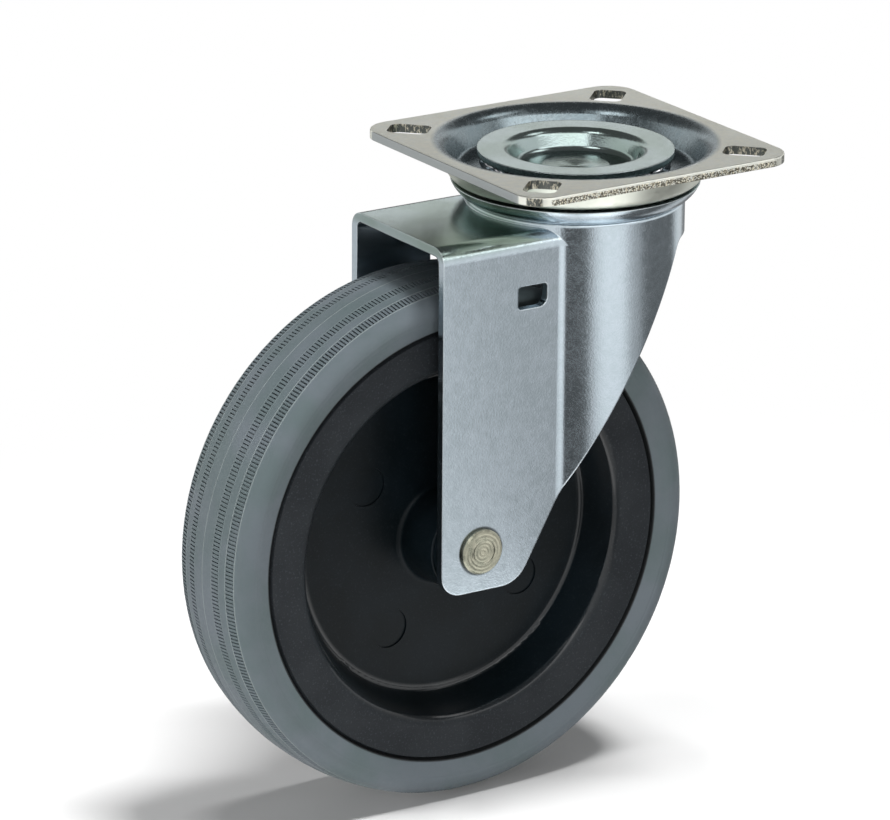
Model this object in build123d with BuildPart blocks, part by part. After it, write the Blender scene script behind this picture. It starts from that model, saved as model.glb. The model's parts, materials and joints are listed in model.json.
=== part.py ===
from build123d import *
import os
from math import hypot, radians, tan

# Swivel castor: a pressed top plate, a pressed fork that swivels under it on two rows of balls,
# and a rubber-tyred wheel on a roller bearing. Millimetres. The origin is on the swivel axis at
# the top plate's upper face, +Z points up and the wheel trails behind the axis along -X.

os.makedirs("parts", exist_ok=True)

# Wheel and where it hangs
wheel_dia = 160.0
trail = 48.6
wheel_clearance = 11.1

# Running and seating clearances
ball_clearance = 0.05
roller_clearance = 0.05
seat_clearance = 0.02
cup_rim_gap = 0.5
hub_side_gap = 0.4
shell_end_gap = 0.1

# Top plate: one sheet with a dish pressed into it and four radial bolt slots
plate_size = 93.0
plate_sheet = 2.6
plate_corner = 9.0
plate_edge_round = 0.4
slot_inset = 10.9
slot_width = 9.8
slot_length = 12.4
slot_corner = 2.5
dish_land = 6.3
dish_wall_slope_in = 4.0
dish_mouth_bend = 3.2
dish_mouth_margin = 3.8
dish_floor_bend = 2.8
dish_hole_r = 22.8

# Swivel bearing: two rows of balls, one over and one under the dish's floor
ball_dia = 5.0
ball_circle_r = 26.0
race_depth = 0.3
ball_count = 24
upper_cup_top = -2.1
upper_cup_sheet = 1.9
upper_cup_r = 29.2
upper_cup_well_r = 21.0
upper_cup_well_taper = 2.4
upper_cup_well_depth = 6.2
upper_cup_lip_bend = 1.5
upper_cup_foot_bend = 3.2
cup_notch_r = 1.6
cup_notch_angle = -25.0
lower_cup_sheet = 2.3
lower_cup_rim_r = 35.65
lower_cup_wall_angle = 63.4
lower_cup_bend = 9.9

# King pin: a solid rivet that holds the two cups to the fork
pin_r = 7.0
pin_top_head_r = 10.4
pin_top_head = 0.9
pin_dimple_r = 5.5
pin_dimple_depth = 0.6
pin_dimple_round = 0.6
pin_foot_r = 11.0
pin_foot = 3.5
pin_foot_round = 1.2
spacer_r = 13.0

# Fork: one deep-drawn sheet, a round neck in front and a flat-topped channel behind
fork_sheet = 2.8
fork_width = 50.0
fork_leg_behind = 13.5
fork_leg_ahead = 13.1
fork_neck_r = 32.5
fork_neck_rise = 1.7
fork_neck_edge = 1.2
fork_skirt_z = -26.8
fork_leg_below_axle = 12.4
fork_top_bend = 5.0
fork_crease = 5.0
fork_cut_x = 19.4
fork_cut_round = 4.0
fork_toe_round = 10.0
fork_heel_round = 6.5
leg_slot_width = 10.2
leg_slot_height = 7.0
leg_slot_x = -31.3
leg_slot_z = -36.5
leg_slot_round = 1.2
leg_slot_big_round = 2.8

# Axle: a pin with both ends peened over, and the tube it clamps between the legs
axle_r = 6.0
axle_head_r = 6.85
axle_head = 1.5
axle_head_chamfer = 0.5
sleeve_r = 7.5

# Roller bearing in the hub
roller_dia = 3.4
roller_count = 12
cage_wall = 1.7
cage_inset = 1.0
cage_end_ring = 2.5
shell_wall = 1.0

# Wheel centre: black moulded plastic, recessed on both sides around the hub
rim_half = 16.6
rim_face = 12.05
rim_groove_half = 0.6
rim_groove_depth = 1.4
rim_key_half = 4.0
rim_key_slope = 1.0
rim_key_height = 3.0
recess_lean = 5.5
lip_round = 3.5
web_half = 4.5
web_foot_round = 1.5
boss_r = 14.2
boss_draft = 0.8
boss_foot_round = 1.6
boss_edge_round = 0.6
mark_circle_r = 32.8
mark_r = 6.2
mark_depth = 0.5
mark_count = 4
mark_start = 145.0

# End caps that close the bearing
cap_plug = 1.8
cap_flange_r = 13.4
cap_flange = 1.4
cap_gap = 0.25

# Tyre: solid rubber moulded round the rim, with two shallow tread grooves on each side
tyre_half = 18.2
tyre_depth = 13.15
tyre_belly = 0.51
tyre_tread_half = 14.4
tyre_crown_drop = 1.8
tyre_foot_lean = (0.3, 1)
tyre_shoulder_lean = (-1, 0.4)
tread_groove_depth = 0.35
tread_groove_width = 3.0
tread_groove_middles = (6.4, 12.8)

# Plate and wheel sizes worked out from the values above
slot_spacing = plate_size - 2 * slot_inset
dish_wall_r = plate_size / 2 - dish_land
dish_blank_r = dish_wall_r + dish_mouth_margin
wheel_r = wheel_dia / 2
tyre_shoulder_r = wheel_r - tyre_crown_drop
rim_r = wheel_r - tyre_depth
lip_r = rim_r - rim_face
web_r = lip_r - recess_lean

# Heights worked out from the stack of cups, balls and dish
race_gap = ball_dia + 2 * ball_clearance - 2 * race_depth
dish_floor_top = upper_cup_top - upper_cup_sheet - race_gap
dish_floor_mid = dish_floor_top - plate_sheet / 2
lower_cup_floor_top = dish_floor_top - plate_sheet - race_gap
lower_cup_floor_mid = lower_cup_floor_top - lower_cup_sheet / 2
lower_cup_rim_z = dish_floor_top - plate_sheet - cup_rim_gap
fork_roof_z = lower_cup_floor_top - lower_cup_sheet
upper_ball_z = dish_floor_top + race_gap / 2
lower_ball_z = lower_cup_floor_top + race_gap / 2
race_r = ball_dia / 2 + ball_clearance
upper_cup_mid = upper_cup_top - upper_cup_sheet / 2
upper_cup_floor_top = upper_cup_top - upper_cup_well_depth
upper_cup_floor_mid = upper_cup_floor_top - upper_cup_sheet / 2
upper_cup_floor_low = upper_cup_floor_top - upper_cup_sheet
pin_hole_r = pin_r + seat_clearance

# Where the wheel hangs, and sizes worked out across it
axle_drop = fork_sheet - fork_roof_z + wheel_clearance + wheel_r
fork_back = trail + fork_leg_behind
leg_inside = fork_width / 2 - fork_sheet
shell_r = sleeve_r + 2 * roller_clearance + roller_dia
hub_bore_r = shell_r + shell_wall + seat_clearance
roller_circle_r = sleeve_r + roller_clearance + roller_dia / 2
cap_inner_r = sleeve_r + cap_gap
boss_half = leg_inside - hub_side_gap - cap_flange
shell_length = 2 * (boss_half - cap_plug - shell_end_gap)
cage_length = shell_length - 2 * cage_inset
roller_length = cage_length - 2 * cage_end_ring
fork_bottom_z = -axle_drop - fork_leg_below_axle
axle_point = (-trail, 0, -axle_drop)
wheel_axis = Axis(axle_point, (0, 1, 0))

# Across the wheel: local x runs along the axle and local y is the radius
wheel_section = Plane(origin=axle_point, x_dir=(0, 1, 0), z_dir=(1, 0, 0))


# Top plate
slot_circle_r = slot_spacing / 2 * hypot(1, 1)
with BuildPart() as top_plate:
    with BuildSketch(Plane.XY.offset(-plate_sheet)):
        RectangleRounded(plate_size, plate_size, plate_corner)
        Circle(dish_blank_r, mode=Mode.SUBTRACT)
    extrude(amount=plate_sheet)
    fillet(top_plate.faces().sort_by(Axis.Z)[-1].outer_wire().edges(), plate_edge_round)
    with BuildSketch(Plane.XZ):
        with BuildLine():
            FilletPolyline(
                (dish_blank_r, -plate_sheet / 2),
                (dish_wall_r, -plate_sheet / 2),
                (dish_wall_r - dish_wall_slope_in, dish_floor_mid),
                (dish_hole_r, dish_floor_mid),
                radius=(dish_mouth_bend, dish_floor_bend),
            )
        trace(line_width=plate_sheet)
    revolve(axis=Axis.Z)
    with BuildSketch(Plane.XY.offset(-2 * plate_sheet)):
        with PolarLocations(slot_circle_r, 4, start_angle=45):
            RectangleRounded(slot_length, slot_width, slot_corner)
    extrude(amount=2 * plate_sheet, mode=Mode.SUBTRACT)
    for race_z in (upper_ball_z, lower_ball_z):
        with Locations((0, 0, race_z)):
            Torus(ball_circle_r, race_r, mode=Mode.SUBTRACT)
top_plate.part.label = "top_plate"
export_step(top_plate.part, "parts/top_plate.step")


# Upper cup: the visible ring over the upper balls, with a well in its middle
well_foot_r = upper_cup_well_r - upper_cup_well_taper
with BuildPart() as upper_cup:
    with BuildSketch(Plane.XZ):
        with BuildLine():
            FilletPolyline(
                (upper_cup_r, upper_cup_mid),
                (upper_cup_well_r, upper_cup_mid),
                (well_foot_r, upper_cup_floor_mid),
                (pin_hole_r, upper_cup_floor_mid),
                radius=(upper_cup_lip_bend, upper_cup_foot_bend),
            )
        trace(line_width=upper_cup_sheet)
    revolve(axis=Axis.Z)
    with Locations((0, 0, upper_ball_z)):
        Torus(ball_circle_r, race_r, mode=Mode.SUBTRACT)
    with PolarLocations(well_foot_r, 1, start_angle=cup_notch_angle):
        with Locations((0, 0, upper_cup_floor_top)):
            Cylinder(cup_notch_r, upper_cup_well_depth, mode=Mode.SUBTRACT)
upper_cup.part.label = "upper_cup"
export_step(upper_cup.part, "parts/upper_cup.step")


# Lower cup: a bowl that carries the lower balls on the fork's neck
lower_cup_wall_run = 1 / tan(radians(lower_cup_wall_angle))
lower_cup_corner_r = lower_cup_rim_r - lower_cup_wall_run * (lower_cup_rim_z - lower_cup_floor_mid)
with BuildPart() as lower_cup:
    with BuildSketch(Plane.XZ):
        with BuildLine():
            FilletPolyline(
                (pin_hole_r, lower_cup_floor_mid),
                (lower_cup_corner_r, lower_cup_floor_mid),
                (
                    lower_cup_rim_r + lower_cup_wall_run * lower_cup_sheet,
                    lower_cup_rim_z + lower_cup_sheet,
                ),
                radius=(lower_cup_bend,),
            )
        trace(line_width=lower_cup_sheet)
    revolve(axis=Axis.Z)
    # The rim is trimmed level, just under the dish
    split(bisect_by=Plane.XY.offset(lower_cup_rim_z), keep=Keep.BOTTOM)
    with Locations((0, 0, lower_ball_z)):
        Torus(ball_circle_r, race_r, mode=Mode.SUBTRACT)
lower_cup.part.label = "lower_cup"
export_step(lower_cup.part, "parts/lower_cup.step")


def ball_row(height, start):
    """One row of loose balls on the ball circle."""
    with BuildPart() as row:
        with Locations((0, 0, height)):
            with PolarLocations(ball_circle_r, ball_count, start_angle=start):
                Sphere(ball_dia / 2)
    return row


upper_balls = ball_row(upper_ball_z, 0)
upper_balls.part.label = "upper_balls"
export_step(upper_balls.part, "parts/upper_balls.step")

lower_balls = ball_row(lower_ball_z, 180 / ball_count)
lower_balls.part.label = "lower_balls"
export_step(lower_balls.part, "parts/lower_balls.step")


# Spacer ring between the two cups, round the king pin
with BuildPart() as spacer_ring:
    with BuildSketch(Plane.XY.offset(lower_cup_floor_top)):
        Circle(spacer_r)
        Circle(pin_hole_r, mode=Mode.SUBTRACT)
    extrude(amount=upper_cup_floor_low - lower_cup_floor_top)
spacer_ring.part.label = "spacer_ring"
export_step(spacer_ring.part, "parts/spacer_ring.step")


# King pin
pin_foot_top = fork_roof_z - fork_sheet
pin_head_top = upper_cup_floor_top + pin_top_head
with BuildPart() as king_pin:
    with BuildSketch(Plane.XZ):
        with BuildLine():
            FilletPolyline(
                (0, pin_foot_top - pin_foot),
                (pin_foot_r, pin_foot_top - pin_foot),
                (pin_foot_r, pin_foot_top),
                (pin_r, pin_foot_top),
                (pin_r, upper_cup_floor_top),
                (pin_top_head_r, upper_cup_floor_top),
                (pin_top_head_r, pin_head_top),
                (pin_dimple_r, pin_head_top),
                (0, pin_head_top - pin_dimple_depth),
                radius=(0, pin_foot_round, 0, 0, 0, 0, pin_top_head / 2, pin_dimple_round, 0),
                close=True,
            )
        make_face()
    revolve(axis=Axis.Z)
king_pin.part.label = "king_pin"
export_step(king_pin.part, "parts/king_pin.step")


def fork_block(inset, top_bend, crease):
    """The fork's outer form, or its hollow when inset by the sheet's thickness."""
    back = fork_back + inset
    base = Plane.XY.offset(fork_bottom_z - fork_sheet)
    block_height = fork_roof_z - inset - base.origin.Z
    with BuildPart() as block:
        with BuildSketch(base) as plan:
            Circle(fork_neck_r - inset)
            with Locations((-back / 2, 0)):
                Rectangle(back, fork_width - 2 * inset)
            # The rear corners come first along X, then those where legs and neck meet
            fillet(plan.vertices().group_by(Axis.X)[1], crease)
        extrude(amount=block_height)
        # The bend runs round the roof, apart from its open rear edge
        fillet(block.faces().sort_by(Axis.Z)[-1].edges().sort_by(Axis.X)[1:], top_bend)
        with BuildSketch(base):
            Circle(fork_neck_r - inset)
        extrude(amount=block_height)
    return block


# Fork: the outer form less its hollow, trimmed to the side view
fork_outer = fork_block(0, fork_top_bend, fork_crease)
fork_hollow = fork_block(fork_sheet, fork_top_bend - fork_sheet, fork_crease + fork_sheet)
beyond_neck = fork_neck_r + fork_sheet
seat_floor_r = lower_cup_corner_r - lower_cup_bend * tan(radians(lower_cup_wall_angle) / 2)
seat_centre_z = lower_cup_floor_mid + lower_cup_bend
seat_r = lower_cup_bend + lower_cup_sheet / 2 + seat_clearance
slot_back = leg_slot_x - leg_slot_width / 2
slot_front = leg_slot_x + leg_slot_width / 2
slot_low = leg_slot_z - leg_slot_height / 2
slot_high = leg_slot_z + leg_slot_height / 2
with BuildPart() as fork:
    add(fork_outer.part)
    with BuildSketch(Plane.XY.offset(fork_roof_z)):
        Circle(fork_neck_r)
    extrude(amount=fork_neck_rise)
    fillet(fork.faces().sort_by(Axis.Z)[-1].edges(), fork_neck_edge)
    add(fork_hollow.part, mode=Mode.SUBTRACT)
    # The bowl that the lower cup sits in
    with BuildSketch(Plane.XZ):
        with BuildLine():
            floor_line = Line((0, fork_roof_z), (seat_floor_r, fork_roof_z))
            wall_arc = CenterArc((seat_floor_r, seat_centre_z), seat_r, -90, 90)
            Line(wall_arc @ 1, (0, seat_centre_z))
            Line((0, seat_centre_z), (0, fork_roof_z))
            Line(floor_line @ 1, wall_arc @ 0)
        make_face()
    revolve(axis=Axis.Z, mode=Mode.SUBTRACT)
    # Side view of legs, skirt and slanted front edge
    with BuildSketch(Plane.XZ):
        with BuildLine():
            FilletPolyline(
                (-fork_back, 0),
                (-fork_back, fork_bottom_z),
                (fork_leg_ahead - trail, fork_bottom_z),
                (fork_cut_x, fork_skirt_z),
                (beyond_neck, fork_skirt_z),
                (beyond_neck, 0),
                radius=(0, fork_heel_round, fork_toe_round, fork_cut_round, 0, 0),
                close=True,
            )
        make_face()
    extrude(amount=fork_width, both=True, mode=Mode.INTERSECT)
    with BuildSketch(Plane.XY.offset(fork_roof_z - 2 * fork_sheet)):
        Circle(pin_hole_r)
    extrude(amount=2 * fork_sheet, mode=Mode.SUBTRACT)
    with BuildSketch(Plane.XZ):
        with Locations((-trail, -axle_drop)):
            Circle(axle_r + seat_clearance)
    extrude(amount=fork_width, both=True, mode=Mode.SUBTRACT)
    with BuildSketch(Plane.XZ):
        with BuildLine():
            FilletPolyline(
                (slot_back, slot_low),
                (slot_front, slot_low),
                (slot_front, slot_high),
                (slot_back, slot_high),
                radius=(leg_slot_round, leg_slot_big_round, leg_slot_round, leg_slot_round),
                close=True,
            )
        make_face()
    extrude(amount=fork_width, both=True, mode=Mode.SUBTRACT)
fork.part.label = "fork"
export_step(fork.part, "parts/fork.step")


# Axle
axle_end = fork_width / 2 + axle_head
with BuildPart() as axle:
    with BuildSketch(wheel_section):
        with BuildLine():
            Polyline(
                (-axle_end, 0),
                (-axle_end, axle_head_r - axle_head_chamfer),
                (-axle_end + axle_head_chamfer, axle_head_r),
                (-fork_width / 2, axle_head_r),
                (-fork_width / 2, axle_r),
                (fork_width / 2, axle_r),
                (fork_width / 2, axle_head_r),
                (axle_end - axle_head_chamfer, axle_head_r),
                (axle_end, axle_head_r - axle_head_chamfer),
                (axle_end, 0),
                close=True,
            )
        make_face()
    revolve(axis=wheel_axis)
axle.part.label = "axle"
export_step(axle.part, "parts/axle.step")


def wheel_tube(outer_r, inner_r, length):
    """A plain tube centred on the wheel axis."""
    with BuildPart() as tube:
        with BuildSketch(Plane(origin=axle_point, x_dir=(1, 0, 0), z_dir=(0, 1, 0))):
            Circle(outer_r)
            Circle(inner_r, mode=Mode.SUBTRACT)
        extrude(amount=length / 2, both=True)
    return tube


bearing_sleeve = wheel_tube(sleeve_r, axle_r + seat_clearance, 2 * leg_inside)
bearing_sleeve.part.label = "bearing_sleeve"
export_step(bearing_sleeve.part, "parts/bearing_sleeve.step")

bearing_shell = wheel_tube(shell_r + shell_wall, shell_r, shell_length)
bearing_shell.part.label = "bearing_shell"
export_step(bearing_shell.part, "parts/bearing_shell.step")


def on_roller_circle(radius, length):
    """Cylinders laid round the axle on the roller circle."""
    with BuildPart() as bars:
        with BuildSketch(Plane(origin=axle_point, x_dir=(1, 0, 0), z_dir=(0, 1, 0))):
            with PolarLocations(roller_circle_r, roller_count):
                Circle(radius)
        extrude(amount=length / 2, both=True)
    return bars


rollers = on_roller_circle(roller_dia / 2, roller_length)
rollers.part.label = "rollers"
export_step(rollers.part, "parts/rollers.step")

cage_blank = wheel_tube(roller_circle_r + cage_wall / 2, roller_circle_r - cage_wall / 2, cage_length)
cage_pockets = on_roller_circle(roller_dia / 2 + roller_clearance, roller_length + 2 * roller_clearance)
with BuildPart() as roller_cage:
    add(cage_blank.part)
    add(cage_pockets.part, mode=Mode.SUBTRACT)
roller_cage.part.label = "roller_cage"
export_step(roller_cage.part, "parts/roller_cage.step")


# Wheel centre
with BuildPart() as wheel_centre:
    with BuildSketch(wheel_section):
        with BuildLine():
            FilletPolyline(
                (0, hub_bore_r),
                (boss_half, hub_bore_r),
                (boss_half, boss_r),
                (web_half, boss_r + boss_draft),
                (web_half, web_r),
                (rim_half, lip_r),
                (rim_half, rim_r - rim_groove_half),
                (rim_half - rim_groove_depth, rim_r),
                (rim_key_half + rim_key_slope, rim_r),
                (rim_key_half, rim_r + rim_key_height),
                (0, rim_r + rim_key_height),
                radius=(0, 0, boss_edge_round, boss_foot_round, web_foot_round, lip_round, 0, 0, 0, 0, 0),
                close=True,
            )
        make_face()
        mirror(about=Plane.YZ)
    revolve(axis=wheel_axis)
    for side in (-1, 1):
        web_face = Plane(
            origin=(-trail, side * web_half, -axle_drop), x_dir=(1, 0, 0), z_dir=(0, -1, 0)
        )
        with BuildSketch(web_face):
            with PolarLocations(mark_circle_r, mark_count, start_angle=mark_start):
                Circle(mark_r)
        extrude(amount=mark_depth * side, mode=Mode.SUBTRACT)
wheel_centre.part.label = "wheel_centre"
export_step(wheel_centre.part, "parts/wheel_centre.step")


def tread_radius(across):
    """The crowned tread's radius at a distance from its middle line."""
    return wheel_r - tyre_crown_drop * (across / tyre_tread_half) ** 2


# Tyre
tyre_foot_r = rim_r + rim_groove_half
with BuildPart() as tyre:
    with BuildSketch(wheel_section):
        with BuildLine():
            Polyline(
                (0, wheel_r),
                (0, rim_r + rim_key_height),
                (rim_key_half, rim_r + rim_key_height),
                (rim_key_half + rim_key_slope, rim_r),
                (rim_half - rim_groove_depth, rim_r),
                (rim_half, tyre_foot_r),
            )
            Spline(
                (rim_half, tyre_foot_r),
                (tyre_half, tyre_foot_r + tyre_belly * (tyre_shoulder_r - tyre_foot_r)),
                (tyre_tread_half, tyre_shoulder_r),
                tangents=(tyre_foot_lean, tyre_shoulder_lean),
            )
            ThreePointArc(
                (tyre_tread_half, tyre_shoulder_r),
                (tyre_tread_half / 2, tread_radius(tyre_tread_half / 2)),
                (0, wheel_r),
            )
        make_face()
        mirror(about=Plane.YZ)
    revolve(axis=wheel_axis)
    for groove_middle in tread_groove_middles:
        groove_in = groove_middle - tread_groove_width / 2
        groove_out = groove_middle + tread_groove_width / 2
        with BuildSketch(wheel_section):
            with BuildLine():
                Polyline(
                    (groove_in, tread_radius(groove_in) - tread_groove_depth),
                    (groove_out, tread_radius(groove_out) - tread_groove_depth),
                    (groove_out, wheel_r),
                    (groove_in, wheel_r),
                    close=True,
                )
            make_face()
            mirror(about=Plane.YZ)
        revolve(axis=wheel_axis, mode=Mode.SUBTRACT)
tyre.part.label = "tyre"
export_step(tyre.part, "parts/tyre.step")


# End caps, one on each side of the hub
cap_plug_r = hub_bore_r - seat_clearance
for side, cap_name in ((-1, "near_end_cap"), (1, "far_end_cap")):
    with BuildPart() as end_cap:
        with BuildSketch(wheel_section):
            with BuildLine():
                Polyline(
                    (side * (boss_half - cap_plug), cap_inner_r),
                    (side * (boss_half + cap_flange), cap_inner_r),
                    (side * (boss_half + cap_flange), cap_flange_r),
                    (side * boss_half, cap_flange_r),
                    (side * boss_half, cap_plug_r),
                    (side * (boss_half - cap_plug), cap_plug_r),
                    close=True,
                )
            make_face()
        revolve(axis=wheel_axis)
    end_cap.part.label = cap_name
    export_step(end_cap.part, f"parts/{cap_name}.step")
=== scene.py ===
import json
from math import cos, pi, radians, sin, tau

import bpy
from mathutils import Matrix, Vector


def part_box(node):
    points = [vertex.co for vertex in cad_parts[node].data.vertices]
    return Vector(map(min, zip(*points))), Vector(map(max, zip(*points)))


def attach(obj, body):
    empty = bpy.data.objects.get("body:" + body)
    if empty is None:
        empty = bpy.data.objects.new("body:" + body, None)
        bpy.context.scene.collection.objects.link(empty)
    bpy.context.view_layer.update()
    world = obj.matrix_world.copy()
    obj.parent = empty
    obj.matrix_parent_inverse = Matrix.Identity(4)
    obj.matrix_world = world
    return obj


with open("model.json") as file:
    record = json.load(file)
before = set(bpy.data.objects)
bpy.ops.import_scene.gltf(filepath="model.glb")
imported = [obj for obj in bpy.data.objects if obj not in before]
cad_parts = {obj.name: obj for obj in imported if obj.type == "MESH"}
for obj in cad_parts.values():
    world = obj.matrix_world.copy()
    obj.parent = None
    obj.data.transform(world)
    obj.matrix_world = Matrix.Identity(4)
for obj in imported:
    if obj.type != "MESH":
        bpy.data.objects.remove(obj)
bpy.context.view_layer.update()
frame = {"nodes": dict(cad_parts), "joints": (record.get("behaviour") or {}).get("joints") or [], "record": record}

mm = 0.001

# Places taken from the frame
joints = {joint["name"]: joint for joint in frame["joints"]}
axle_at = Vector(joints["wheel_spin"]["pos_m"])
tyre_low, tyre_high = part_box("tyre")
_, plate_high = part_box("top_plate")
floor_z = tyre_low[2]
tread_r = (tyre_high[2] - tyre_low[2]) / 2
plate_half = plate_high[0]

# Tread: rows of short cross ribs on each side of the middle
rib_pitch = 1.2 * mm
inner_rib_width = 0.8 * mm
outer_rib_width = 0.66 * mm
rib_height = 0.39 * mm
inner_row_y = 6.4 * mm
inner_row_length = 3.0 * mm
outer_row_y = 12.8 * mm
outer_row_length = 3.0 * mm
groove_depth = 0.35 * mm
crown_drop = 1.8 * mm
crown_half = 14.4 * mm

# Moulded lines round the tread: distance from its middle and half width in millimetres, and strength
tread_lines = ((0.0, 0.24, 1.0), (4.7, 0.22, 0.35), (8.2, 0.2, 0.3), (11.0, 0.26, 0.9), (14.6, 0.3, 0.7))

# Tyre, in millimetres from the axle: its foot at the rim, the line in its sidewall, the tread's foot
tyre_foot_r = 67.45
wall_line_r = 72.4
tread_foot_r = 77.6

# Top plate: the dish's mouth, where its underside starts, how far in its side faces count, its round edges
dish_mouth_r = 43.2 * mm
plate_under_z = -3.0 * mm
side_band = 0.3 * mm
plate_edge_round = 0.3 * mm
sheared_z = (-0.6 * mm, -1.0 * mm)

# Fork: where the greenish stain of its roof and cups fades in, darkened as painted shade, and how round its edges
# look
roof_stain_shade_z = (-22.5 * mm, -19.5 * mm)
neck_stain_shade_z = (-12.0 * mm, -10.0 * mm)
roof_stain_shade_x = (-24.0 * mm, -32.0 * mm)
fork_edge_round = 0.55 * mm

# Fork's legs: where the painted shade round the axle starts, in millimetres from the wheel's middle plane
leg_outside_y = 24.0

# Axle: its peened head and the dish in it, in millimetres
axle_head_r = 6.85
axle_dish_r = 3.6
turning_pitch = 1.1

# Wheel centre: where the recess meets the rim and the web, in millimetres from the axle
recess_edge_r = 54.8
web_edge_r = 48.7

# Tints of the zinc: pale and deep share a skin, the rest lie over it
fork_pale = (0.55, 0.63, 0.69, 1)
fork_deep = (0.50, 0.58, 0.63, 1)
# A greenish stain, made dark as painted shade on the roof and cups
fork_stain_and_shade = (0.30, 0.38, 0.35, 1)
# Paler edges: partly wear, partly a painted highlight
fork_wear_and_highlight = (0.72, 0.77, 0.80, 1)
# Painted shade in the gap round the axle head
axle_painted_shade = (0.05, 0.055, 0.055, 1)
plate_pale = (0.97, 0.97, 0.87, 1)
plate_deep = (0.86, 0.88, 0.81, 1)
# The dish's zinc, bluer and darkened as painted shade
dish_shaded_pale = (0.26, 0.31, 0.33, 1)
dish_shaded_deep = (0.20, 0.25, 0.27, 1)
dish_under = (0.84, 0.87, 0.78, 1)
torn_bright = (0.90, 0.84, 0.66, 1)
torn_dark = (0.14, 0.13, 0.10, 1)
slot_dark = (0.13, 0.14, 0.13, 1)
slot_bright = (0.66, 0.62, 0.50, 1)
cut_side = (0.42, 0.45, 0.45, 1)
plate_worn_edge = (0.84, 0.83, 0.74, 1)
axle_pale = (0.44, 0.43, 0.34, 1)
axle_deep = (0.27, 0.28, 0.22, 1)

# Tints of rubber, plastic and bearing steel, as they look on screen
rubber_tones = ((76, 86, 88), (84, 91, 96))
# The tread's mould lines, paler as a painted highlight on the ridges
rubber_line_highlight = (140, 148, 148)
# Painted shade in the groove where the tyre meets the rim
rubber_groove_shade = (16, 18, 19)
recess_tones = ((5, 11, 14), (9, 16, 20))
rim_tones = ((27, 30, 33), (33, 36, 39))
rim_speck = (62, 68, 72)
cage_tones = ((205, 200, 186), (222, 219, 208))
steel_tones = ((222, 223, 226), (205, 207, 211))

# Floor: how pale it is, how far out it turns plain white, and how far it goes, in metres
floor_grey = 0.66
white_from = 0.16
white_beyond = 0.34
floor_reach = 6.0

# World: its brightness as a light and as a background
world_fill = 0.08
world_seen = 1.0

# Papers on the floor: direction round the castor, in degrees, and how bright they are there
paper_shades = [
    (-156, 0.92), (-140, 0.92), (-134, 0.09), (-115, 0.12), (-99, 0.92), (-93, 1.08),
    (-76, 1.05), (-61, 0.5), (-44, 0.16), (-6, 0.16), (8, 0.8), (20, 0.8), (30, 0.22),
    (90, 0.22), (100, 0.8), (112, 0.6), (136, 0.6), (160, 0.9),
]

# Papers: their edges in metres, how finely they are cut, and their shade by distance
paper_inner_r = 0.07
paper_outer_r = 1.2
paper_steps = 96
paper_shade_reach = (0.2, 0.5)
paper_shade_range = (0.82, 1.1)

# A brighter strip of paper close to the castor, on the camera's side, with its ends in degrees
close_glow = 1.1
close_reach = (0.18, 0.14)
close_start = (-170, -160)
close_end = (-48, -58)

# Tent of dark cloth, and its windows: direction, half width, low and high edge in degrees, brightness
tent_radius = 0.9
tent_centre_z = -0.06
tent_low = 27
tent_shade = 0.12
tent_rings = 12
tent_segments = 60
tent_windows = ((-98, 50, 27, 41, 2.4), (-164, 14, 46, 60, 3.5), (-24, 16, 44, 60, 2.0))

# Horizon card: its distance and top in metres, the directions it spans in degrees, and its shade
horizon_radius = 0.85
horizon_top = 0.14
horizon_span = (22, 98)
horizon_steps = 16
horizon_shade = 0.12

# Lamps: direction and height in degrees, distance, width and height in metres, power in watts
overhead_lamps = (("key", -36, 76, 2.2, 0.6, 0.2, 65), ("overhead", 147, 83, 2.2, 0.4, 0.2, 11))
low_lamps = (
    ("left", -168, 3, 1.0, 0.6, 0.2, 6.9),
    ("front", -110, 3, 1.0, 0.6, 0.2, 4.1),
    ("behind", 40, 3, 1.0, 0.6, 0.2, 3.5),
    ("right", -50, 3, 1.0, 0.5, 0.2, 1.8),
    ("behind_left", 130, 3, 1.0, 0.6, 0.2, 3),
)
strip_direction = -33

# Camera: where the photograph was taken from, and where the swivel axis falls in it
photo_width = 890
photo_height = 820
focal_px = 6000
camera_azimuth = radians(-32.917)
camera_elevation = radians(18.45)
camera_roll = radians(0.42)
camera_depth = 1.76735
axis_px = (575.91, 139.93)
sensor_width = 36.0


def linear(red, green, blue):
    """A colour given as it looks on screen, 0 to 255, turned into a shader's linear colour."""
    channels = []
    for value in (red, green, blue):
        share = value / 255
        channels.append(share / 12.92 if share <= 0.04045 else ((share + 0.055) / 1.055) ** 2.4)
    return (*channels, 1.0)


def linear_pair(tones):
    """Two colours given as they look on screen, turned into a shader's."""
    return [linear(*tone) for tone in tones]


def new_group(name, inputs, outputs):
    """An empty shader node group with the named sockets."""
    group = bpy.data.node_groups.new(name, "ShaderNodeTree")
    for label, kind, value in inputs:
        socket = group.interface.new_socket(label, in_out="INPUT", socket_type=kind)
        if value is not None:
            socket.default_value = value
    for label, kind in outputs:
        group.interface.new_socket(label, in_out="OUTPUT", socket_type=kind)
    entry = group.nodes.new("NodeGroupInput")
    leave = group.nodes.new("NodeGroupOutput")
    return group, entry.outputs, leave.inputs


def connect(tree, source, target):
    """Links a socket, or sets a plain value."""
    if isinstance(source, bpy.types.NodeSocket):
        tree.links.new(source, target)
    else:
        target.default_value = source


def math_node(tree, operation, first, second=0.0, third=0.0, clamp=False):
    node = tree.nodes.new("ShaderNodeMath")
    node.operation = operation
    node.use_clamp = clamp
    for socket, value in zip(node.inputs, (first, second, third)):
        connect(tree, value, socket)
    return node.outputs[0]


def length_of(tree, first, second):
    """The length of a flat vector with the given parts."""
    squares = math_node(tree, "MULTIPLY_ADD", first, first, math_node(tree, "MULTIPLY", second, second))
    return math_node(tree, "SQRT", squares)


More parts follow.
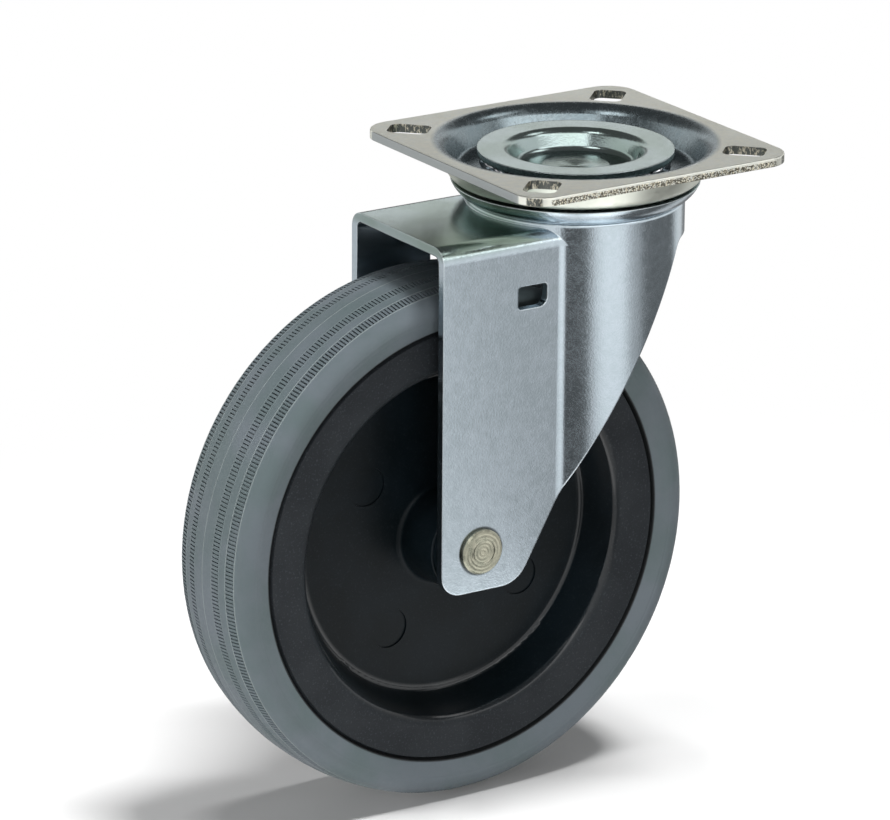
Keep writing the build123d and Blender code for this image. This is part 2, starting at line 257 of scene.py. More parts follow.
def noise(tree, where, scale, detail=2.0, roughness=0.5):
    node = tree.nodes.new("ShaderNodeTexNoise")
    connect(tree, where, node.inputs["Vector"])
    connect(tree, scale, node.inputs["Scale"])
    node.inputs["Detail"].default_value = detail
    node.inputs["Roughness"].default_value = roughness
    return node.outputs["Fac"]


def ramp(tree, value, low, high, low_to=0.0, high_to=1.0):
    """Maps a value from one range to another, held at the ends."""
    node = tree.nodes.new("ShaderNodeMapRange")
    node.interpolation_type = "SMOOTHSTEP"
    for socket, source in zip(node.inputs, (value, low, high, low_to, high_to)):
        connect(tree, source, socket)
    return node.outputs["Result"]


def mix_colour(tree, share, first, second, blend="MIX"):
    node = tree.nodes.new("ShaderNodeMix")
    node.data_type = "RGBA"
    node.blend_type = blend
    connect(tree, share, node.inputs[0])
    connect(tree, first, node.inputs[6])
    connect(tree, second, node.inputs[7])
    return node.outputs[2]


def object_coordinates(tree):
    return tree.nodes.new("ShaderNodeTexCoord").outputs["Object"]


def split_vector(tree, vector):
    """The three parts of a vector."""
    node = tree.nodes.new("ShaderNodeSeparateXYZ")
    connect(tree, vector, node.inputs[0])
    return node.outputs


def surface_normal(tree):
    return tree.nodes.new("ShaderNodeNewGeometry").outputs["Normal"]


def product(tree, *factors):
    """All the factors multiplied together."""
    result = factors[0]
    for factor in factors[1:]:
        result = math_node(tree, "MULTIPLY", result, factor)
    return result


def stretched(tree, where, scale):
    """Coordinates scaled by axis, which draws a noise out into streaks."""
    node = tree.nodes.new("ShaderNodeMapping")
    connect(tree, where, node.inputs["Vector"])
    node.inputs["Scale"].default_value = scale
    return node.outputs["Vector"]


def build_metal_skin():
    """Plated sheet: cloudy tint, uneven polish and the fine orange peel that drawing leaves."""
    group, given, out = new_group(
        "plated skin",
        [("Vector", "NodeSocketVector", None), ("Pale", "NodeSocketColor", linear(200, 205, 205)),
         ("Deep", "NodeSocketColor", linear(160, 170, 175)), ("Smooth", "NodeSocketFloat", 0.25),
         ("Dull", "NodeSocketFloat", 0.4), ("Peel Scale", "NodeSocketFloat", 1500.0)],
        [("Color", "NodeSocketColor"), ("Roughness", "NodeSocketFloat"), ("Height", "NodeSocketFloat")],
    )
    clouds = noise(group, given["Vector"], 38.0, 3.0, 0.55)
    blotches = noise(group, given["Vector"], 420.0, 3.0, 0.65)
    cloudy = math_node(group, "MULTIPLY_ADD", blotches, 0.55, math_node(group, "MULTIPLY", clouds, 0.45))
    share = ramp(group, cloudy, 0.36, 0.62)
    connect(group, mix_colour(group, share, given["Deep"], given["Pale"]), out["Color"])
    speck = noise(group, given["Vector"], given["Peel Scale"], 1.5, 0.6)
    spread = math_node(group, "SUBTRACT", given["Dull"], given["Smooth"])
    uneven = math_node(group, "MULTIPLY_ADD", spread, share, given["Smooth"])
    polish = math_node(group, "MULTIPLY_ADD", math_node(group, "SUBTRACT", speck, 0.5), 0.22, uneven)
    connect(group, polish, out["Roughness"])
    broad = noise(group, given["Vector"], 110.0, 1.0, 0.5)
    connect(group, math_node(group, "MULTIPLY_ADD", broad, 1.0, speck), out["Height"])
    return group


def build_wheel_place():
    """Where a point lies on the wheel: its radius and its distance across, in millimetres."""
    group, given, out = new_group(
        "place on wheel", [("Vector", "NodeSocketVector", None)],
        [("Radius", "NodeSocketFloat"), ("Across", "NodeSocketFloat")],
    )
    shift = group.nodes.new("ShaderNodeVectorMath")
    shift.operation = "SUBTRACT"
    connect(group, given["Vector"], shift.inputs[0])
    shift.inputs[1].default_value = axle_at
    along, across, up = split_vector(group, shift.outputs[0])
    connect(group, math_node(group, "MULTIPLY", length_of(group, along, up), 1 / mm), out["Radius"])
    connect(group, math_node(group, "MULTIPLY", across, 1 / mm), out["Across"])
    return group


def build_ridge():
    """A fine raised line at one value of a coordinate."""
    group, given, out = new_group(
        "fine ridge",
        [("Value", "NodeSocketFloat", 0.0), ("At", "NodeSocketFloat", 0.0),
         ("Half Width", "NodeSocketFloat", 0.2)],
        [("Height", "NodeSocketFloat")],
    )
    away = math_node(group, "ABSOLUTE", math_node(group, "SUBTRACT", given["Value"], given["At"]))
    share = math_node(group, "DIVIDE", away, given["Half Width"])
    connect(group, ramp(group, share, 0.0, 1.0, 1.0, 0.0), out["Height"])
    return group


metal_skin = build_metal_skin()
wheel_place = build_wheel_place()
fine_ridge = build_ridge()


def use_group(tree, group, **values):
    """Places a node group and sets its inputs; an underscore in a name stands for a space."""
    node = tree.nodes.new("ShaderNodeGroup")
    node.node_tree = group
    for label, value in values.items():
        connect(tree, value, node.inputs[label.replace("_", " ")])
    return node.outputs


def new_material(name, metallic=0.0, roughness=0.5, specular=0.5):
    material = bpy.data.materials.new(name)
    material.use_nodes = True
    tree = material.node_tree
    shader = tree.nodes["Principled BSDF"]
    shader.inputs["Metallic"].default_value = metallic
    shader.inputs["Roughness"].default_value = roughness
    shader.inputs["Specular IOR Level"].default_value = specular
    return material, tree, shader.inputs


def bump(tree, shader, height, distance, under=None):
    node = tree.nodes.new("ShaderNodeBump")
    node.inputs["Strength"].default_value = 1.0
    node.inputs["Distance"].default_value = distance
    connect(tree, height, node.inputs["Height"])
    if under is not None:
        connect(tree, under, node.inputs["Normal"])
    connect(tree, node.outputs["Normal"], shader["Normal"])


def rounded_edges(tree, radius):
    """Normals that round sharp edges off, and a mask that rises to 1 along them."""
    soft = tree.nodes.new("ShaderNodeBevel")
    soft.samples = 6
    soft.inputs["Radius"].default_value = radius
    alike = tree.nodes.new("ShaderNodeVectorMath")
    alike.operation = "DOT_PRODUCT"
    connect(tree, soft.outputs["Normal"], alike.inputs[0])
    connect(tree, surface_normal(tree), alike.inputs[1])
    return soft.outputs["Normal"], ramp(tree, alike.outputs["Value"], 0.99, 0.86)


def make_zinc_fork():
    """Blue zinc on the drawn parts, with a semi-bright skin and edges rolled over by the die. Roof and cups are
    darkened as painted shade, edges paled by wear and a painted highlight, and a ring round the axle head darkened
    as painted shade.
    """
    material, tree, shader = new_material("zinc_fork", metallic=1.0)
    where = object_coordinates(tree)
    skin = use_group(tree, metal_skin, Vector=where, Pale=fork_pale, Deep=fork_deep,
                     Smooth=0.15, Dull=0.2, Peel_Scale=1900.0)
    softened, on_edge = rounded_edges(tree, fork_edge_round)
    along, _, up = split_vector(tree, where)
    uneven = ramp(tree, noise(tree, where, 60.0, 1.0), 0.35, 0.65, 0.7, 1.0)
    # The roof and cups: a greenish stain, darkened as painted shade
    on_roof = product(tree, ramp(tree, up, *roof_stain_shade_z), ramp(tree, along, *roof_stain_shade_x))
    stain_and_shade_zone = math_node(tree, "MAXIMUM", on_roof, ramp(tree, up, *neck_stain_shade_z))
    tinted = mix_colour(tree, product(tree, stain_and_shade_zone, uneven), skin["Color"], fork_stain_and_shade)
    # Edges paled, partly by wear and partly as a painted highlight
    edged = mix_colour(tree, product(tree, on_edge, 0.6), tinted, fork_wear_and_highlight)
    place = use_group(tree, wheel_place, Vector=where)
    # Painted shade in a ring round the axle head, on the outside of the legs
    round_axle = ramp(tree, place["Radius"], axle_head_r + 1.0, axle_head_r + 0.3, 0.0, 0.85)
    aside = math_node(tree, "ABSOLUTE", place["Across"])
    axle_shade_ring = product(tree, round_axle, ramp(tree, aside, leg_outside_y, leg_outside_y + 0.8))
    connect(tree, mix_colour(tree, axle_shade_ring, edged, axle_painted_shade), shader["Base Color"])
    connect(tree, skin["Roughness"], shader["Roughness"])
    bump(tree, shader, skin["Height"], 0.03 * mm, softened)
    return material


def make_zinc_plate():
    """Warm, dull zinc on the flat of the plate, bluer in the dish and darkened there as painted shade. Two of its
    sides are torn, two cut.
    """
    material, tree, shader = new_material("zinc_plate", metallic=1.0)
    where = object_coordinates(tree)
    flat = use_group(
        tree, metal_skin, Vector=where, Pale=plate_pale, Deep=plate_deep,
        Smooth=0.36, Dull=0.46, Peel_Scale=1300.0)
    drawn = use_group(
        tree, metal_skin, Vector=where, Pale=dish_shaded_pale, Deep=dish_shaded_deep,
        Smooth=0.2, Dull=0.3, Peel_Scale=1300.0)
    softened, on_rim = rounded_edges(tree, plate_edge_round)
    x, y, height = split_vector(tree, where)
    along, across = (math_node(tree, "ABSOLUTE", part) for part in (x, y))
    from_axis = length_of(tree, along, across)
    _, _, rise = split_vector(tree, surface_normal(tree))

    # The dish: bluer above and darkened there as painted shade, pale underneath
    in_dish = ramp(tree, from_axis, dish_mouth_r + 0.2 * mm, dish_mouth_r - 2.0 * mm)
    shaded_dish_side = product(tree, in_dish, ramp(tree, rise, -0.1, 0.1))
    skin_colour = mix_colour(tree, shaded_dish_side, flat["Color"], drawn["Color"])
    below_plate = ramp(tree, height, plate_under_z, plate_under_z - 0.6 * mm)
    under_side = product(tree, below_plate, ramp(tree, rise, 0.1, -0.1))
    skin_colour = mix_colour(tree, under_side, skin_colour, dish_under)
    spread = math_node(tree, "SUBTRACT", drawn["Roughness"], flat["Roughness"])
    polish = math_node(tree, "MULTIPLY_ADD", shaded_dish_side, spread, flat["Roughness"])

    # The torn sides, below a smooth sheared band
    side_zone = (plate_half - side_band, plate_half - side_band / 3)
    tears = noise(tree, stretched(tree, where, (1.0, 1.0, 0.45)), 1500.0, 3.0, 0.7)
    specks = noise(tree, where, 2400.0, 2.0, 0.6)
    on_torn = product(tree, ramp(tree, across, *side_zone), ramp(tree, height, *sheared_z))
    torn_face = product(tree, on_torn, ramp(tree, tears, 0.46, 0.58))
    bright = mix_colour(tree, torn_face, skin_colour, torn_bright)
    dark_tear = product(tree, on_torn, ramp(tree, specks, 0.56, 0.46))
    marked = mix_colour(tree, dark_tear, bright, torn_dark)

    # The slots' punched walls
    punched = ramp(tree, tears, 0.5, 0.62)
    slot_colour = mix_colour(tree, punched, slot_dark, slot_bright)
    upright = ramp(tree, math_node(tree, "ABSOLUTE", rise), 0.5, 0.3)
    from_middle = math_node(tree, "MAXIMUM", along, across)
    inside = ramp(tree, from_middle, plate_half - 1.0 * mm, plate_half - 1.4 * mm)
    beyond = ramp(tree, from_axis, dish_mouth_r + 0.6 * mm, dish_mouth_r + 1.0 * mm)
    marked = mix_colour(tree, product(tree, upright, inside, beyond), marked, slot_colour)

    cut = mix_colour(tree, ramp(tree, along, *side_zone), marked, cut_side)
    worn = mix_colour(tree, product(tree, on_rim, 0.5), cut, plate_worn_edge)
    connect(tree, worn, shader["Base Color"])
    connect(tree, polish, shader["Roughness"])
    torn = product(tree, tears, on_torn, 6.0)
    bump(tree, shader, math_node(tree, "ADD", flat["Height"], torn), 0.02 * mm, softened)
    return material


def make_zinc_axle():
    """Yellowish zinc on the turned pin, with fine turning rings on its peened ends."""
    material, tree, shader = new_material("zinc_axle", metallic=1.0)
    where = object_coordinates(tree)
    skin = use_group(tree, metal_skin, Vector=where, Pale=axle_pale, Deep=axle_deep,
                     Smooth=0.24, Dull=0.4, Peel_Scale=2200.0)
    place = use_group(tree, wheel_place, Vector=where)
    rings = math_node(tree, "SINE", math_node(tree, "MULTIPLY", place["Radius"], tau / turning_pitch))
    dished = use_group(tree, fine_ridge, Value=place["Radius"], At=axle_dish_r, Half_Width=0.5)
    turned = math_node(tree, "MULTIPLY_ADD", rings, 0.7, math_node(tree, "MULTIPLY", dished["Height"], 5.0))
    connect(tree, skin["Color"], shader["Base Color"])
    connect(tree, skin["Roughness"], shader["Roughness"])
    bump(tree, shader, math_node(tree, "ADD", skin["Height"], turned), 0.03 * mm)
    return material


def make_hard_steel():
    """Ground bearing steel."""
    material, tree, shader = new_material("hard_steel", metallic=1.0)
    where = object_coordinates(tree)
    pale, deep = linear_pair(steel_tones)
    skin = use_group(tree, metal_skin, Vector=where, Pale=pale, Deep=deep,
                     Smooth=0.1, Dull=0.18, Peel_Scale=2600.0)
    connect(tree, skin["Color"], shader["Base Color"])
    connect(tree, skin["Roughness"], shader["Roughness"])
    return material


def make_black_plastic():
    """Black moulding: a fine spark-eroded grain on the rim, smoother and coloured far darker in the recess, with
    glossy corners.
    """
    material, tree, shader = new_material("black_plastic", specular=0.14)
    where = object_coordinates(tree)
    place = use_group(tree, wheel_place, Vector=where)
    on_rim = ramp(tree, place["Radius"], recess_edge_r - 1.5, recess_edge_r + 2.0)
    grain = noise(tree, where, 1500.0, 2.0, 0.6)
    bloom = noise(tree, where, 55.0, 3.0, 0.55)
    cloudy = ramp(tree, bloom, 0.35, 0.65)
    # The recess is coloured far darker than the rim
    recess_tone = mix_colour(tree, cloudy, *linear_pair(recess_tones))
    rim_tone = mix_colour(tree, cloudy, *linear_pair(rim_tones))
    tone = mix_colour(tree, on_rim, recess_tone, rim_tone)
    speck = math_node(tree, "MULTIPLY", ramp(tree, grain, 0.55, 0.72, 0.0, 0.4),
                      math_node(tree, "MULTIPLY_ADD", on_rim, 0.75, 0.25))
    connect(tree, mix_colour(tree, speck, tone, linear(*rim_speck)), shader["Base Color"])
    radius = place["Radius"]
    at_web = use_group(tree, fine_ridge, Value=radius, At=web_edge_r, Half_Width=1.6)["Height"]
    at_lip = use_group(tree, fine_ridge, Value=radius, At=recess_edge_r - 1.0, Half_Width=2.4)["Height"]
    corner = math_node(tree, "MAXIMUM", at_web, at_lip)
    connect(tree, product(tree, corner, 0.9), shader["Coat Weight"])
    shader["Coat Roughness"].default_value = 0.12
    even = math_node(tree, "MULTIPLY_ADD", on_rim, 0.2, 0.3)
    connect(tree, math_node(tree, "MULTIPLY_ADD", grain, 0.15, even), shader["Roughness"])
    depth = math_node(tree, "MULTIPLY_ADD", on_rim, 0.7, 0.3)
    bump(tree, shader, math_node(tree, "MULTIPLY", grain, depth), 0.04 * mm)
    return material


def make_cage_plastic():
    """Natural pale moulding of the roller cage."""
    material, tree, shader = new_material("cage_plastic", roughness=0.45)
    where = object_coordinates(tree)
    clouds = noise(tree, where, 200.0, 2.0, 0.5)
    tone = mix_colour(tree, clouds, *linear_pair(cage_tones))
    connect(tree, tone, shader["Base Color"])
    bump(tree, shader, noise(tree, where, 1800.0), 0.01 * mm)
    return material


def make_grey_rubber():
    """Non-marking grey rubber: matt, a little cloudy, with mould lines round the tread and sidewall; the tread's
    lines are paler as a painted highlight, and the groove at the rim has painted shade.
    """
    material, tree, shader = new_material("grey_rubber", roughness=0.6, specular=0.25)
    where = object_coordinates(tree)
    place = use_group(tree, wheel_place, Vector=where)
    clouds = noise(tree, where, 42.0, 3.0, 0.55)
    fine = noise(tree, where, 900.0, 2.0, 0.55)
    cool = mix_colour(tree, ramp(tree, clouds, 0.36, 0.64), *linear_pair(rubber_tones))
    aside = math_node(tree, "ABSOLUTE", place["Across"])
    lines = 0.0
    for at, half_width, strength in tread_lines:
        line = use_group(tree, fine_ridge, Value=aside, At=at, Half_Width=half_width)["Height"]
        lines = math_node(tree, "MULTIPLY_ADD", line, strength, lines)
    on_tread = ramp(tree, place["Radius"], tread_foot_r, tread_foot_r + 0.5)
    lines = math_node(tree, "MULTIPLY", lines, on_tread)
    wall_line = use_group(tree, fine_ridge, Value=place["Radius"], At=wall_line_r, Half_Width=0.5)["Height"]
    # Mould lines paled as a painted highlight on their ridges
    pale = mix_colour(tree, math_node(tree, "MULTIPLY", lines, 0.6), cool, linear(*rubber_line_highlight))
    # Painted shade in the groove where the tyre meets the rim
    groove_shade = ramp(tree, place["Radius"], tyre_foot_r + 0.6, tyre_foot_r + 0.1)
    connect(tree, mix_colour(tree, groove_shade, pale, linear(*rubber_groove_shade)), shader["Base Color"])
    connect(tree, ramp(tree, fine, 0.3, 0.7, 0.48, 0.62), shader["Roughness"])
    relief = math_node(tree, "MULTIPLY_ADD", lines, 4.0, fine)
    relief = math_node(tree, "MULTIPLY_ADD", wall_line, -1.6, relief)
    bump(tree, shader, relief, 0.03 * mm)
    return material


finishes = {
    "zinc_fork": make_zinc_fork(),
    "zinc_plate": make_zinc_plate(),
    "zinc_axle": make_zinc_axle(),
    "hard_steel": make_hard_steel(),
    "black_plastic": make_black_plastic(),
    "cage_plastic": make_cage_plastic(),
    "grey_rubber": make_grey_rubber(),
}
for part in frame["record"]["subparts"]:
    mesh = frame["nodes"][part["node"]].data
    mesh.materials.clear()
    mesh.materials.append(finishes[part["material_slot"]])


def geometry_group(name, inputs):
    """An empty geometry node group with a geometry output and the named inputs."""
    group = bpy.data.node_groups.new(name, "GeometryNodeTree")
    identifiers = {}
    for label, kind, value in inputs:
        socket = group.interface.new_socket(label, in_out="INPUT", socket_type=kind)
        if value is not None:
            socket.default_value = value
        identifiers[label] = socket.identifier
    group.interface.new_socket("Geometry", in_out="OUTPUT", socket_type="NodeSocketGeometry")
    entry = group.nodes.new("NodeGroupInput")
    leave = group.nodes.new("NodeGroupOutput")
    return group, identifiers, entry.outputs, leave.inputs["Geometry"]


def build_rib_ring():
    """A ring of cross ribs round the wheel axis, each leant to lie on the crowned tread."""
    group, _, given, out = geometry_group("ring of ribs", [
        ("Count", "NodeSocketInt", 8), ("Radius", "NodeSocketFloat", 0.08),
        ("Across", "NodeSocketFloat", 0.0), ("Lean", "NodeSocketFloat", 0.0),
        ("Rib Size", "NodeSocketVector", None),
    ])
    points = group.nodes.new("GeometryNodePoints")
    connect(group, given["Count"], points.inputs["Count"])
    index = group.nodes.new("GeometryNodeInputIndex").outputs[0]
    turn = math_node(group, "MULTIPLY", math_node(group, "DIVIDE", index, given["Count"]), tau)
    place = group.nodes.new("ShaderNodeCombineXYZ")
    connect(group, product(group, math_node(group, "COSINE", turn), given["Radius"]), place.inputs[0])
    connect(group, given["Across"], place.inputs[1])
    connect(group, product(group, math_node(group, "SINE", turn), given["Radius"]), place.inputs[2])
    connect(group, place.outputs[0], points.inputs["Position"])
    facing = group.nodes.new("ShaderNodeCombineXYZ")
    connect(group, given["Lean"], facing.inputs[0])
    connect(group, math_node(group, "SUBTRACT", pi / 2, turn), facing.inputs[1])
    rib = group.nodes.new("GeometryNodeMeshCube")
    connect(group, given["Rib Size"], rib.inputs["Size"])
    spread = group.nodes.new("GeometryNodeInstanceOnPoints")
    connect(group, points.outputs[0], spread.inputs["Points"])
    connect(group, rib.outputs["Mesh"], spread.inputs["Instance"])
    connect(group, facing.outputs[0], spread.inputs["Rotation"])
    connect(group, spread.outputs[0], out)
    return group


def build_tread_ribs():
    """Four rings of ribs, two on each side of the tyre's middle."""
    ring = build_rib_ring()
    group, identifiers, given, out = geometry_group("tread ribs", [
        ("Pitch", "NodeSocketFloat", rib_pitch), ("Height", "NodeSocketFloat", rib_height),
        ("Centre", "NodeSocketVector", None),
        ("Material", "NodeSocketMaterial", None),
    ])
    join = group.nodes.new("GeometryNodeJoinGeometry")
    count = math_node(group, "ROUND", math_node(group, "DIVIDE", tau * tread_r, given["Pitch"]))
    rows = (
        (inner_row_y, inner_row_length, inner_rib_width),
        (outer_row_y, outer_row_length, outer_rib_width),
    )
    for row_y, length, width in rows:
        fall = crown_drop * (row_y / crown_half) ** 2
        slope = 2 * crown_drop * row_y / crown_half ** 2
        for side in (-1, 1):
            size = group.nodes.new("ShaderNodeCombineXYZ")
            size.inputs[0].default_value = width
            size.inputs[1].default_value = length
            connect(group, given["Height"], size.inputs[2])
            row = group.nodes.new("GeometryNodeGroup")
            row.node_tree = ring
            connect(group, count, row.inputs["Count"])
            row.inputs["Radius"].default_value = tread_r - fall - groove_depth / 2
            row.inputs["Across"].default_value = side * row_y
            row.inputs["Lean"].default_value = -side * slope
            connect(group, size.outputs[0], row.inputs["Rib Size"])
            connect(group, row.outputs[0], join.inputs[0])
    move = group.nodes.new("GeometryNodeTransform")
    connect(group, join.outputs[0], move.inputs["Geometry"])
    connect(group, given["Centre"], move.inputs["Translation"])
    real = group.nodes.new("GeometryNodeRealizeInstances")
    connect(group, move.outputs[0], real.inputs[0])
    finish = group.nodes.new("GeometryNodeSetMaterial")
    connect(group, real.outputs[0], finish.inputs["Geometry"])
    connect(group, given["Material"], finish.inputs["Material"])
    connect(group, finish.outputs[0], out)
    return group, identifiers


def make_tread_ribs():
    tree, identifiers = build_tread_ribs()
    maker = bpy.data.objects.new("tread_ribs_maker", bpy.data.meshes.new("tread_ribs_maker"))
    bpy.context.scene.collection.objects.link(maker)
    modifier = maker.modifiers.new("ribs", "NODES")
    modifier.node_group = tree
    modifier[identifiers["Centre"]] = axle_at
    modifier[identifiers["Material"]] = finishes["grey_rubber"]
    graph = bpy.context.evaluated_depsgraph_get()
    mesh = bpy.data.meshes.new_from_object(maker.evaluated_get(graph))
    bpy.data.objects.remove(maker)
    ribs = bpy.data.objects.new("tread_ribs", mesh)
    bpy.context.scene.collection.objects.link(ribs)
    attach(ribs, "wheel")


make_tread_ribs()


def shown_as_background(tree):
    """1 for what the camera sees directly, in a reflection or through glass."""
    path = tree.nodes.new("ShaderNodeLightPath").outputs
    seen = math_node(tree, "MAXIMUM", path["Is Camera Ray"], path["Is Glossy Ray"])
    return math_node(tree, "MAXIMUM", seen, path["Is Transmission Ray"])


def flat_place(tree):
    """Distance from the swivel axis, in metres, and direction round it, in degrees."""
    along, across, _ = split_vector(tree, object_coordinates(tree))
    turn = math_node(tree, "ARCTAN2", across, along)
    return length_of(tree, along, across), math_node(tree, "MULTIPLY", turn, 360 / tau)


def stage_sheet(name, corners, faces, material):
    mesh = bpy.data.meshes.new(name)
    mesh.from_pydata(corners, [], faces)
    mesh.materials.append(material)
    sheet = bpy.data.objects.new(name, mesh)
    bpy.context.scene.collection.objects.link(sheet)
    return sheet


def make_floor():
    """A pale floor with the castor's shadow, plain white further out, and clear when seen from below."""
    material = bpy.data.materials.new("floor")
    material.use_nodes = True
    tree = material.node_tree
    tree.nodes.remove(tree.nodes["Principled BSDF"])
    matt = tree.nodes.new("ShaderNodeBsdfDiffuse")
    matt.inputs["Color"].default_value = (floor_grey, floor_grey, floor_grey, 1)
    white = tree.nodes.new("ShaderNodeEmission")
    distance, _ = flat_place(tree)
    plain = product(tree, shown_as_background(tree), ramp(tree, distance, white_from, white_beyond))
    mix = tree.nodes.new("ShaderNodeMixShader")
    connect(tree, plain, mix.inputs[0])
    connect(tree, matt.outputs[0], mix.inputs[1])
    connect(tree, white.outputs[0], mix.inputs[2])
    one_sided = tree.nodes.new("ShaderNodeMixShader")
    connect(tree, tree.nodes.new("ShaderNodeNewGeometry").outputs["Backfacing"], one_sided.inputs[0])
    connect(tree, mix.outputs[0], one_sided.inputs[1])
    connect(tree, tree.nodes.new("ShaderNodeBsdfTransparent").outputs[0], one_sided.inputs[2])
    connect(tree, one_sided.outputs[0], tree.nodes["Material Output"].inputs["Surface"])
    corners = [(floor_reach * x, floor_reach * y, floor_z) for x, y in ((-1, -1), (1, -1), (1, 1), (-1, 1))]
    stage_sheet("floor", corners, [(0, 1, 2, 3)], material)


def make_world():
    world = bpy.data.worlds.new("studio")
    world.use_nodes = True
    bpy.context.scene.world = world
    tree = world.node_tree
    strength = ramp(tree, shown_as_background(tree), 0.0, 1.0, world_fill, world_seen)
    connect(tree, strength, tree.nodes["Background"].inputs["Strength"])
    tree.nodes["Background"].inputs["Color"].default_value = (1, 1, 1, 1)


def glowing(name):
    """A material for a card that is seen only in reflections."""
    material = bpy.data.materials.new(name)
    material.use_nodes = True
    tree = material.node_tree
    tree.nodes.remove(tree.nodes["Principled BSDF"])
    glow = tree.nodes.new("ShaderNodeEmission")
    connect(tree, glow.outputs[0], tree.nodes["Material Output"].inputs["Surface"])
    return material, tree, glow.inputs


def only_reflected(card):
    card.visible_camera = False
    card.visible_diffuse = False
    card.visible_shadow = False
    card.visible_transmission = False


def make_floor_papers():
    """Grey papers laid round the castor, seen only in reflections, which shape what the zinc mirrors."""
    material, tree, glow = glowing("floor_papers")
    distance, direction = flat_place(tree)
    first_turn, shade = paper_shades[0]
    stops = paper_shades + [(first_turn + 360, shade)]
    past_first = math_node(tree, "SUBTRACT", direction, first_turn)
    turned = math_node(tree, "ADD", math_node(tree, "FLOORED_MODULO", past_first, 360.0), first_turn)
    for (start, before), (finish, after) in zip(stops, stops[1:]):
        shade = math_node(tree, "ADD", ramp(tree, turned, start, finish, 0.0, after - before), shade)
    shade = product(tree, shade, ramp(tree, distance, *paper_shade_reach, *paper_shade_range))
    near_side = product(tree, ramp(tree, direction, *close_start), ramp(tree, direction, *close_end))
    close_by = product(tree, ramp(tree, distance, *close_reach), near_side)
    connect(tree, math_node(tree, "ADD", shade, product(tree, close_by, close_glow)), glow["Strength"])
    corners = []
    for step in range(paper_steps):
        angle = tau * step / paper_steps
        for reach in (paper_inner_r, paper_outer_r):
            corners.append((reach * cos(angle), reach * sin(angle), floor_z + 0.5 * mm))
    faces = []
    for step in range(paper_steps):
        low, high = 2 * step, 2 * ((step + 1) % paper_steps)
        faces.append((low, low + 1, high + 1, high))
    only_reflected(stage_sheet("floor_papers", corners, faces, material))


def make_tent():
    """A dark tent over the set, open low down all round, with bright windows."""
    material, tree, glow = glowing("tent")
    _, direction = flat_place(tree)
    _, _, z = split_vector(tree, object_coordinates(tree))
    rise = math_node(tree, "DIVIDE", math_node(tree, "SUBTRACT", z, tent_centre_z), tent_radius)
    height = math_node(tree, "MULTIPLY", math_node(tree, "ARCSINE", rise), 360 / tau)
    shade = tent_shade
    for middle, half, low, high, bright in tent_windows:
        aside = math_node(tree, "ABSOLUTE", math_node(tree, "SUBTRACT", direction, middle))
        window = product(
            tree, ramp(tree, height, low - 1, low + 1), ramp(tree, height, high + 2, high - 2),
            ramp(tree, aside, half + 4, half - 4))
        shade = math_node(tree, "MULTIPLY_ADD", window, bright, shade)
    connect(tree, shade, glow["Strength"])
    corners = []
    for ring in range(tent_rings + 1):
        rising = radians(tent_low + (90 - tent_low) * ring / tent_rings)
        reach = tent_radius * cos(rising)
        level = tent_centre_z + tent_radius * sin(rising)
        for step in range(tent_segments):
            angle = tau * step / tent_segments
            corners.append((reach * cos(angle), reach * sin(angle), level))
    faces = []
    for ring in range(tent_rings):
        under, over = ring * tent_segments, (ring + 1) * tent_segments
        for step in range(tent_segments):
            after = (step + 1) % tent_segments
            faces.append((under + step, under + after, over + after, over + step))
    only_reflected(stage_sheet("tent", corners, faces, material))


def make_horizon_card():
    """A dark strip along the horizon behind the set, which the pressed dish mirrors."""
    material, _, glow = glowing("horizon_card")
    glow["Strength"].default_value = horizon_shade
    start, finish = horizon_span
    corners = []
    for step in range(horizon_steps + 1):
        angle = radians(start + (finish - start) * step / horizon_steps)
        x, y = horizon_radius * cos(angle), horizon_radius * sin(angle)
        corners += [(x, y, z) for z in (floor_z + 1 * mm, horizon_top)]
    faces = [(2 * step, 2 * step + 1, 2 * step + 3, 2 * step + 2) for step in range(horizon_steps)]
    only_reflected(stage_sheet("horizon_card", corners, faces, material))


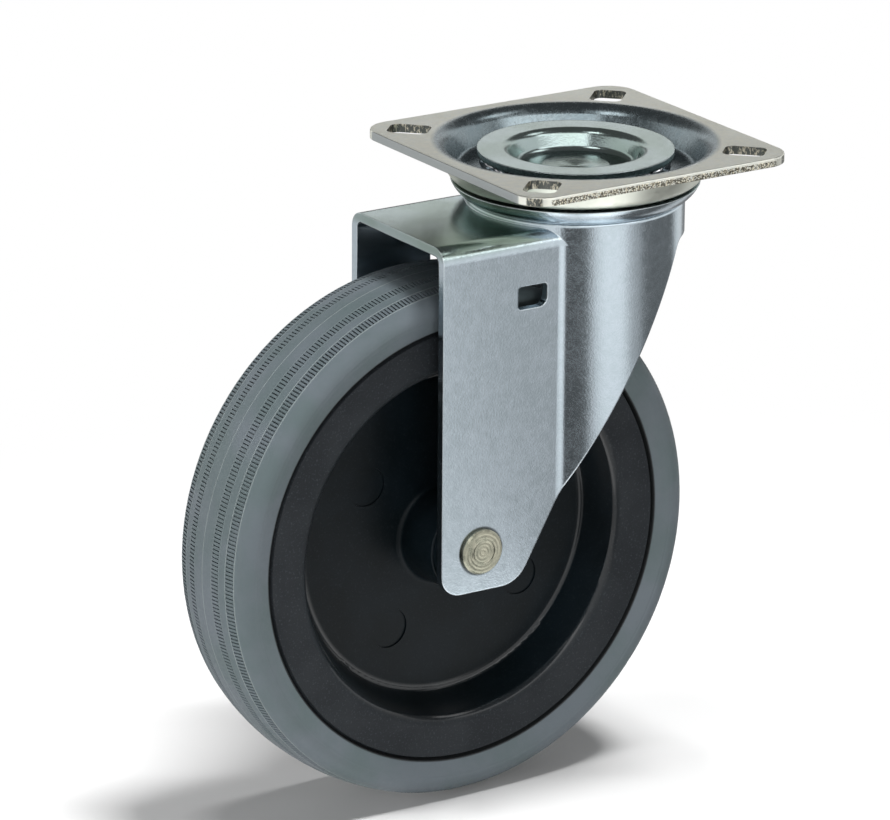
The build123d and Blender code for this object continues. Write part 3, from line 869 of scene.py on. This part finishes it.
def make_softbox(name, azimuth, elevation, distance, width, height, power, side_azimuth=None):
    """A soft lamp aimed at the middle of the castor, its width level or laid along a direction."""
    lamp = bpy.data.lights.new(name, "AREA")
    lamp.shape = "RECTANGLE"
    lamp.size = width
    lamp.size_y = height
    lamp.energy = power
    light = bpy.data.objects.new(name, lamp)
    azimuth, elevation = radians(azimuth), radians(elevation)
    outward = Vector((cos(azimuth) * cos(elevation), sin(azimuth) * cos(elevation), sin(elevation)))
    side = Vector((-sin(azimuth), cos(azimuth), 0.0))
    if side_azimuth is not None:
        side = Vector((cos(radians(side_azimuth)), sin(radians(side_azimuth)), 0.0))
    side = (side - outward * side.dot(outward)).normalized()
    light.location = Vector((-0.02, 0.0, floor_z / 2)) + outward * distance
    light.rotation_mode = "QUATERNION"
    light.rotation_quaternion = Matrix((side, outward.cross(side), outward)).transposed().to_quaternion()
    light.visible_glossy = False
    bpy.context.scene.collection.objects.link(light)


def make_camera():
    """The photograph's camera: the swivel axis at the plate's face falls on its pixel."""
    back = Vector((sin(camera_azimuth) * cos(camera_elevation),
                   -cos(camera_azimuth) * cos(camera_elevation), sin(camera_elevation)))
    level_right = Vector((cos(camera_azimuth), sin(camera_azimuth), 0))
    level_up = back.cross(level_right)
    right = level_right * cos(camera_roll) + level_up * sin(camera_roll)
    up = level_up * cos(camera_roll) - level_right * sin(camera_roll)
    metres_per_px = camera_depth / focal_px
    aside = (axis_px[0] - photo_width / 2) * metres_per_px
    above = (photo_height / 2 - axis_px[1]) * metres_per_px
    data = bpy.data.cameras.new("camera")
    data.sensor_width = sensor_width
    data.lens = focal_px / photo_width * sensor_width
    camera = bpy.data.objects.new("camera", data)
    camera.location = back * camera_depth - right * aside - up * above
    camera.rotation_mode = "QUATERNION"
    camera.rotation_quaternion = Matrix((right, up, back)).transposed().to_quaternion()
    bpy.context.scene.collection.objects.link(camera)
    bpy.context.scene.camera = camera


make_floor()
make_world()
make_floor_papers()
make_tent()
make_horizon_card()
for lamp in overhead_lamps:
    make_softbox(*lamp, side_azimuth=strip_direction)
for lamp in low_lamps:
    make_softbox(*lamp)
make_camera()
bpy.context.scene.view_settings.view_transform = "Standard"
